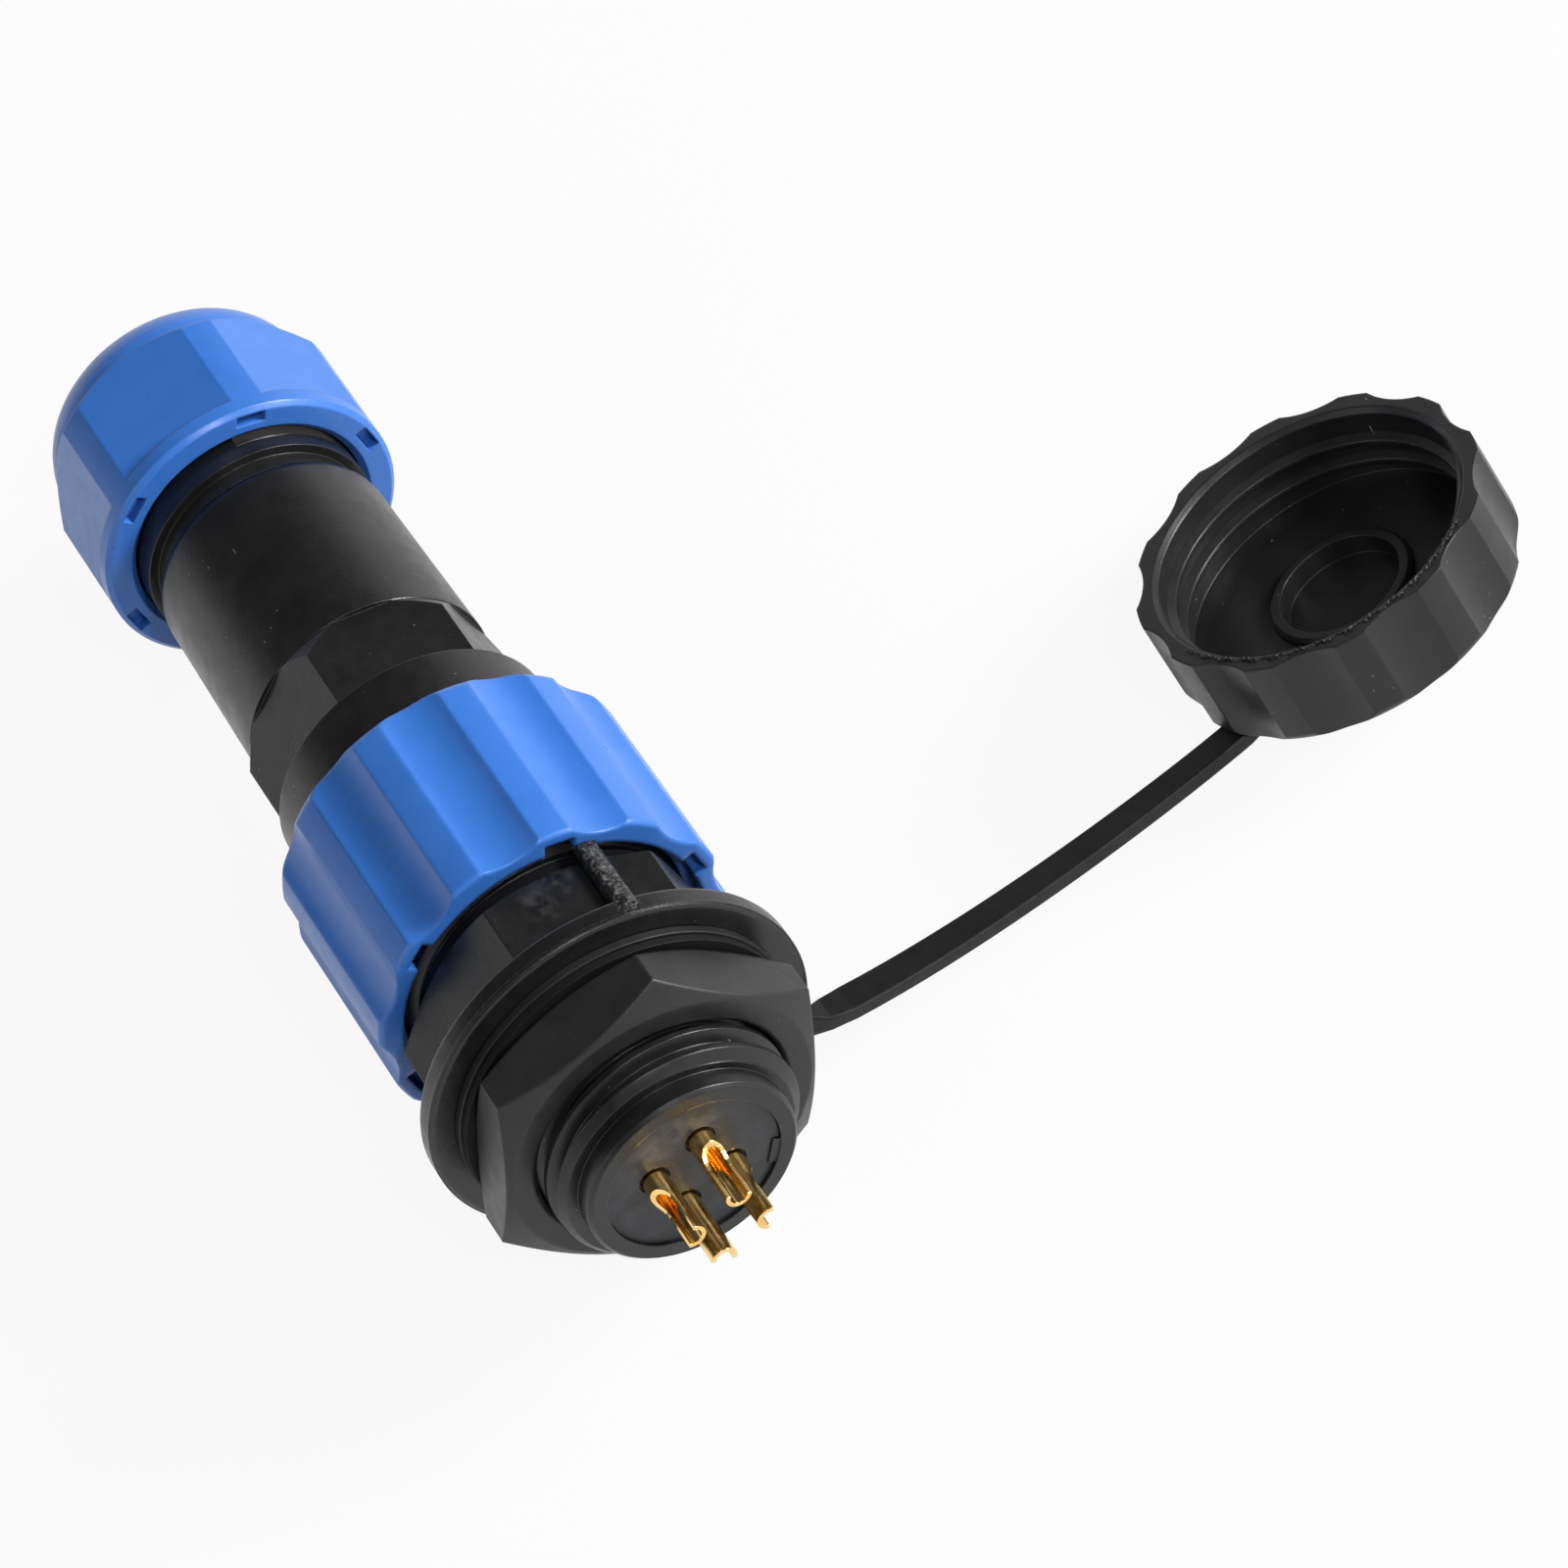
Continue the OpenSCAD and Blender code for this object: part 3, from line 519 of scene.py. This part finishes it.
def scuffed(tree, place, colour, height, spots):
    """Colour and height with pale pits in the given spots."""
    mask = near(tree, place, spots)
    pits = noise(tree, place, PIT_SCALE, detail=4.0)
    share = combine(tree, "MULTIPLY", mask, remap(tree, pits, *PIT_RANGE, 0.0, SCUFF_SHARE))
    depth = combine(tree, "MULTIPLY", combine(tree, "MULTIPLY", pits, mask), PIT_DEPTH)
    return blend_colour(tree, share, colour, SCUFF_COLOUR), combine(tree, "ADD", height, depth)


def filmed(tree, place, colour, spots):
    """Colour with a thin cloudy film in the given spots."""
    film = remap(tree, noise(tree, place, FILM_SCALE, detail=6.0), *FILM_RANGE, 0.0, FILM_SHARE)
    share = combine(tree, "MULTIPLY", near(tree, place, spots), film)
    return blend_colour(tree, share, colour, FILM_COLOUR)


def plastic(name, colours, rough, grain, scale, edge=0.12, dust=0.0, level=0.5, worn=(), smudged=()):
    """Moulded plastic or rubber with mottled colour and gloss and a fine grain."""
    material, tree, shader, place = new_material(name)
    colour = blend_colour(tree, clouds(tree, place, MOTTLE_SCALE), *colours)
    height = noise(tree, place, scale, detail=2.0)
    gloss = drift(tree, place, GLOSS_SCALE, rough - GLOSS_SWING, rough + GLOSS_SWING)
    if dust:
        colour = dusty(tree, place, colour, dust)
    if worn:
        colour, height = scuffed(tree, place, colour, height, worn)
    if smudged:
        colour = filmed(tree, place, colour, smudged)
    tree.links.new(colour, shader.inputs["Base Color"])
    tree.links.new(gloss, shader.inputs["Roughness"])
    shader.inputs["Specular IOR Level"].default_value = level
    surface(tree, shader, height, grain, edge)
    return material


def insert_material(name, smear=()):
    """Dull grey moulding with a pale smear of flux near the cups."""
    material, tree, shader, place = new_material(name)
    colour = blend_colour(tree, clouds(tree, place, INSERT_SCALE), *INSERT_GREY)
    if smear:
        flux = remap(tree, noise(tree, place, FLUX_SCALE), *FLUX_RANGE, 0.0, FLUX_SHARE)
        stain = combine(tree, "MULTIPLY", near(tree, place, smear), flux)
        colour = blend_colour(tree, stain, colour, FLUX_COLOUR)
    gloss = drift(tree, place, INSERT_GLOSS_SCALE, *INSERT_ROUGH)
    tree.links.new(colour, shader.inputs["Base Color"])
    tree.links.new(gloss, shader.inputs["Roughness"])
    surface(tree, shader, noise(tree, place, INSERT_GRAIN_SCALE), INSERT_GRAIN, FINE_EDGE)
    return material


def gilt_material():
    """Polished gilt of uneven tone."""
    material, tree, shader, place = new_material("gilt")
    colour = blend_colour(tree, clouds(tree, place, GILT_SCALE), *GOLD)
    gloss = drift(tree, place, GILT_GLOSS_SCALE, *GILT_ROUGH)
    tree.links.new(colour, shader.inputs["Base Color"])
    tree.links.new(gloss, shader.inputs["Roughness"])
    shader.inputs["Metallic"].default_value = 1.0
    surface(tree, shader, noise(tree, place, GILT_GRAIN_SCALE, detail=2.0), GILT_GRAIN, FINE_EDGE)
    return material


def round_spot(x, angle, r, size):
    """Spot on the connector's outside."""
    return ALONG_X @ around(r, angle, x), size


# Worn, dusty and stained spots, each a point and a radius in millimetres

RIB_SPOT_X = (-9.8, -8.6, -7.4, -6.2, -5.0, -3.8, -2.6)
RIB_SPOT_SIZE = 1.3
GATE_SPOT_X = (-1.7, -1.1)
GATE_SPOT_R = FLANGE_R + 0.1
GATE_SPOT_SIZE = 1.1
rib_spots = [round_spot(x, RIB_ANGLE, RIB_R, RIB_SPOT_SIZE) for x in RIB_SPOT_X]
gate_spots = [round_spot(x, GATE_ANGLE, GATE_SPOT_R, GATE_SPOT_SIZE) for x in GATE_SPOT_X]
neck_spots = [((-7.4, 2.4, 11.5), 2.2), ((-8.6, 4.2, 11.0), 1.6)]
flux_spots = [((11.5, -1.7, 4.4), 2.2), ((11.5, 1.0, 5.0), 1.8), ((11.5, 3.0, 3.8), 1.4)]

black = plastic("black_nylon", NYLON, rough=0.34, grain=0.012, scale=3500.0, edge=0.16, dust=0.6)
socket_black = plastic(
    "socket_nylon", NYLON, rough=0.34, grain=0.014, scale=3300.0, edge=0.14, dust=0.5,
    worn=rib_spots + gate_spots, smudged=neck_spots)
nut_black = plastic(
    "nut_nylon", NUT_NYLON, rough=0.40, grain=0.016, scale=3000.0, edge=0.40, dust=0.5, level=0.4)
cap_black = plastic(
    "cap_nylon", CAP_NYLON, rough=0.38, grain=0.010, scale=2600.0, edge=0.22, dust=0.8, level=0.42)
# Darker, duller copy of the strap rubber on the gasket: painted shade in the gap between the flange and
# the panel nut
shaded_gasket_rubber = plastic(
    "shaded_gasket_rubber", GASKET_SHADED, rough=0.55, grain=0.010, scale=2200.0, edge=0.10, level=0.22)
rubber = plastic("strap_rubber", RUBBER, rough=0.50, grain=0.012, scale=2200.0, edge=0.20, level=0.4)
blue = plastic("blue_nylon", BLUE, rough=0.32, grain=0.006, scale=2400.0, edge=0.25, level=0.45)
ring_blue = plastic("ring_nylon", BLUE, rough=0.32, grain=0.006, scale=2400.0, edge=0.50, level=0.45)
white = plastic("white_nylon", WHITE, rough=0.45, grain=0.010, scale=2500.0)
socket_insert_grey = insert_material("socket_insert_grey", flux_spots)
plug_insert_grey = insert_material("plug_insert_grey")
gilt = gilt_material()

looks = {
    "socket_body": socket_black, "back_shell": black, "plug_shell": black, "panel_nut": nut_black,
    "dust_cap": cap_black, "cap_tether": rubber, "panel_gasket": shaded_gasket_rubber, "coupling_seal": rubber,
    "shell_oring": rubber, "cable_seal": rubber, "coupling_ring": ring_blue, "gland_nut": blue,
    "socket_insert": socket_insert_grey, "plug_insert": plug_insert_grey, "clamp_collet": white,
    "clamp_washer": white}
for number in CONTACTS:
    looks[f"socket_contact_{number}"] = gilt
    looks[f"plug_contact_{number}"] = gilt


def paint(piece, material):
    piece.data.materials.clear()
    piece.data.materials.append(material)


def dress(piece, material, body):
    paint(piece, material)
    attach(piece, body)


def add_piece(name, shape, material, body, sharp=20.0):
    dress(finished_piece(name, closed_mesh(name, *shape), sharp), material, body)


for node, material in looks.items():
    paint(frame["nodes"][node], material)


# Threads: grooves cut into the socket and the back shell, and a ridge inside the cap

panel_groove = thread_cutter(PANEL_THREAD, PANEL_START, PANEL_TURNS)
rim_x = end_of("socket_body", 0)
coupling_groove = thread_cutter(COUPLING_THREAD, rim_x - COUPLING_LEAD, COUPLING_TURNS)
socket = cut_copy("socket_body", "socket_body_threaded", [panel_groove, coupling_groove])
dress(socket, socket_black, "socket")

gland_groove = thread_cutter(GLAND_THREAD, end_of("back_shell", 0) - GLAND_LEAD, GLAND_TURNS)
shell = cut_copy("back_shell", "back_shell_threaded", [gland_groove])
dress(shell, black, "plug")

cap_place = joint_place("cap_turn")
ridge_base = CAP_BORE_R + RIDGE_SUNK
ridge_top = CAP_BORE_R - RIDGE_H
cap_ridge = [
    (ridge_base, -RIDGE_FOOT), (ridge_base, RIDGE_FOOT),
    (ridge_top, RIDGE_CREST), (ridge_top, -RIDGE_CREST)]
cap_thread = helix(cap_ridge, RIDGE_PITCH, CAP_FLOOR + RIDGE_UP, RIDGE_TURNS, cap_place, RIDGE_FADE)
add_piece("dust_cap_thread", cap_thread, cap_black, "cap")

# Grip flutes, deeper than those of the solids, and the cap's rounder closed end and rough rim

ring_ends = end_of("coupling_ring", 0), end_of("coupling_ring", 1)
ring_cutters = flute_cutters(RING_FLUTE, *ring_ends, ALONG_X)
ring = cut_copy("coupling_ring", "coupling_ring_fluted", ring_cutters)
dress(ring, ring_blue, "ring")

cap_cutters = flute_cutters(CAP_FLUTE, 0.0, CAP_H, cap_place)
cap_cutters.append(edge_cutter(CAP_FLUTE[0], CAP_EDGE, cap_place))
cap = cut_copy("dust_cap", "dust_cap_fluted", cap_cutters)
dress(cap, cap_black, "cap")

rim_flash = flash_strip(CAP_BORE_R + CAP_LEAD + FLASH_OUT, CAP_H, FLASH_ARC, FLASH_H, cap_place)
add_piece("dust_cap_flash", rim_flash, cap_black, "cap", sharp=30.0)

# Torn rib on the neck, its gate mark on the flange's rim, and the flange's crisp front edge

rib_span = ring_ends[1] + RIB_CLEAR, -FLANGE_T
torn_rib = torn_bar(RIB_ANGLE, rib_span, RIB_R - RIB_SUNK, RIB_R + RIB_RISE, RIB_W, RIB_TORN)
add_piece("socket_rib_torn", torn_rib, socket_black, "socket", sharp=40.0)

gate_span = GATE_INSET - FLANGE_T, GATE_END
gate_mark = torn_bar(
    GATE_ANGLE, gate_span, FLANGE_R - GATE_RISE, FLANGE_R + GATE_RISE, RIB_W, GATE_TORN)
add_piece("socket_gate_mark", gate_mark, socket_black, "socket", sharp=40.0)

lip_in, lip_out = FLANGE_R - LIP_W, FLANGE_R - LIP_SUNK
lip = [(lip_in, -FLANGE_ROUND), (lip_out, -FLANGE_ROUND), (lip_out, -FLANGE_LIP), (lip_in, -FLANGE_LIP)]
add_piece("socket_flange_edge", turned_ring(lip, ALONG_X), socket_black, "socket")

# Counterbores round the solder cups

cup_wells = []
face_x = end_of("socket_insert", 1)
for number in CONTACTS:
    low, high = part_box(f"socket_contact_{number}")
    middle = (low + high) / 2 / MM
    place = ALONG_X @ Matrix.Translation((middle.y, middle.z, 0))
    cup_wells.append(disc(place, CUP_WELL_R, face_x - CUP_WELL_DEPTH, face_x + CUT_PAST))
insert = cut_copy("socket_insert", "socket_insert_welled", cup_wells)
dress(insert, socket_insert_grey, "socket")


# Stage: pale floor, a pale sweep that darkens overhead, soft lights and the camera, in metres

FLOOR_HALF = 3.0
FLOOR_GAP = 0.05 * MM
FLOOR_GREY = (0.62, 0.62, 0.62, 1.0)
FLOOR_GLOW = 0.92
PURE_WHITE = (1.0, 1.0, 1.0, 1.0)
SWEEP_Z = (0.08, 0.42)
SWEEP_LIGHT = (1.0, 0.08)
CAMERA_LENS = 157.5
CAMERA_EYE = Vector((0.3049, 0.0166, 0.3981))
CAMERA_RIGHT = Vector((0.4639, 0.8098, -0.3592))
CAMERA_UP = Vector((-0.6295, 0.5867, 0.5095))
CAMERA_BACK = Vector((0.6233, -0.0102, 0.7819))


def seen_directly(tree):
    """1 for rays from the camera and for reflections, 0 for diffuse light."""
    path = tree.nodes.new("ShaderNodeLightPath").outputs
    mirrored = combine(tree, "MAXIMUM", path["Is Glossy Ray"], path["Is Transmission Ray"])
    return combine(tree, "MAXIMUM", path["Is Camera Ray"], mirrored)


def floor_material():
    """Matt floor, nearly white to the camera and in reflections, that keeps the object's shadow."""
    material = bpy.data.materials.new("pale_floor")
    material.use_nodes = True
    tree = material.node_tree
    tree.nodes.clear()
    out = tree.nodes.new("ShaderNodeOutputMaterial")
    mix = tree.nodes.new("ShaderNodeMixShader")
    matt = tree.nodes.new("ShaderNodeBsdfDiffuse")
    glow = tree.nodes.new("ShaderNodeEmission")
    matt.inputs["Color"].default_value = FLOOR_GREY
    glow.inputs["Color"].default_value = PURE_WHITE
    tree.links.new(combine(tree, "MULTIPLY", seen_directly(tree), FLOOR_GLOW), mix.inputs["Fac"])
    tree.links.new(matt.outputs["BSDF"], mix.inputs[1])
    tree.links.new(glow.outputs["Emission"], mix.inputs[2])
    tree.links.new(mix.outputs["Shader"], out.inputs["Surface"])
    return material


def add_floor():
    mesh = bpy.data.meshes.new("floor")
    corners = [(x * FLOOR_HALF, y * FLOOR_HALF, 0) for x, y in ((-1, -1), (1, -1), (1, 1), (-1, 1))]
    mesh.from_pydata(corners, [], [(0, 1, 2, 3)])
    floor = shown_object("floor", mesh)
    floor.location = (0, 0, cad_low.z - FLOOR_GAP)
    paint(floor, floor_material())
    floor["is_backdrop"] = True


def add_sky():
    """White to the camera, and a white horizon that darkens overhead for the object."""
    world = bpy.data.worlds.new("studio")
    bpy.context.scene.world = world
    world.use_nodes = True
    tree = world.node_tree
    tree.nodes.clear()
    out = tree.nodes.new("ShaderNodeOutputWorld")
    light = tree.nodes.new("ShaderNodeBackground")
    way = tree.nodes.new("ShaderNodeSeparateXYZ")
    tree.links.new(tree.nodes.new("ShaderNodeTexCoord").outputs["Generated"], way.inputs["Vector"])
    sweep = remap(tree, way.outputs["Z"], *SWEEP_Z, *SWEEP_LIGHT)
    camera_ray = tree.nodes.new("ShaderNodeLightPath").outputs["Is Camera Ray"]
    tree.links.new(combine(tree, "MAXIMUM", sweep, camera_ray), light.inputs["Strength"])
    light.inputs["Color"].default_value = PURE_WHITE
    tree.links.new(light.outputs["Background"], out.inputs["Surface"])


def soft_light(name, direction, distance, size, power):
    """Round lamp that looks at the object's middle."""
    lamp = bpy.data.lights.new(name, "AREA")
    lamp.shape = "DISK"
    lamp.size = size
    lamp.energy = power
    made = bpy.data.objects.new(name, lamp)
    towards = Vector(direction).normalized()
    made.location = (cad_low + cad_high) / 2 + towards * distance
    made.rotation_euler = towards.to_track_quat("Z", "Y").to_euler()
    bpy.context.scene.collection.objects.link(made)


def add_camera():
    data = bpy.data.cameras.new("camera")
    data.sensor_width = 36.0
    data.lens = CAMERA_LENS
    data.clip_start = 0.01
    camera = bpy.data.objects.new("camera", data)
    turn = Matrix((CAMERA_RIGHT, CAMERA_UP, CAMERA_BACK)).transposed().to_4x4()
    camera.matrix_world = Matrix.Translation(CAMERA_EYE) @ turn
    bpy.context.scene.collection.objects.link(camera)
    bpy.context.scene.camera = camera


add_floor()
add_sky()
soft_light("key", (0.30, 0.85, 0.42), distance=0.7, size=0.26, power=7.6)
soft_light("fill", (0.10, -0.85, 0.55), distance=0.8, size=0.55, power=1.2)
soft_light("front", (0.64, 0.22, 0.74), distance=0.8, size=0.16, power=2.0)
add_camera()
bpy.context.scene.view_settings.view_transform = "Standard"

low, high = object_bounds()
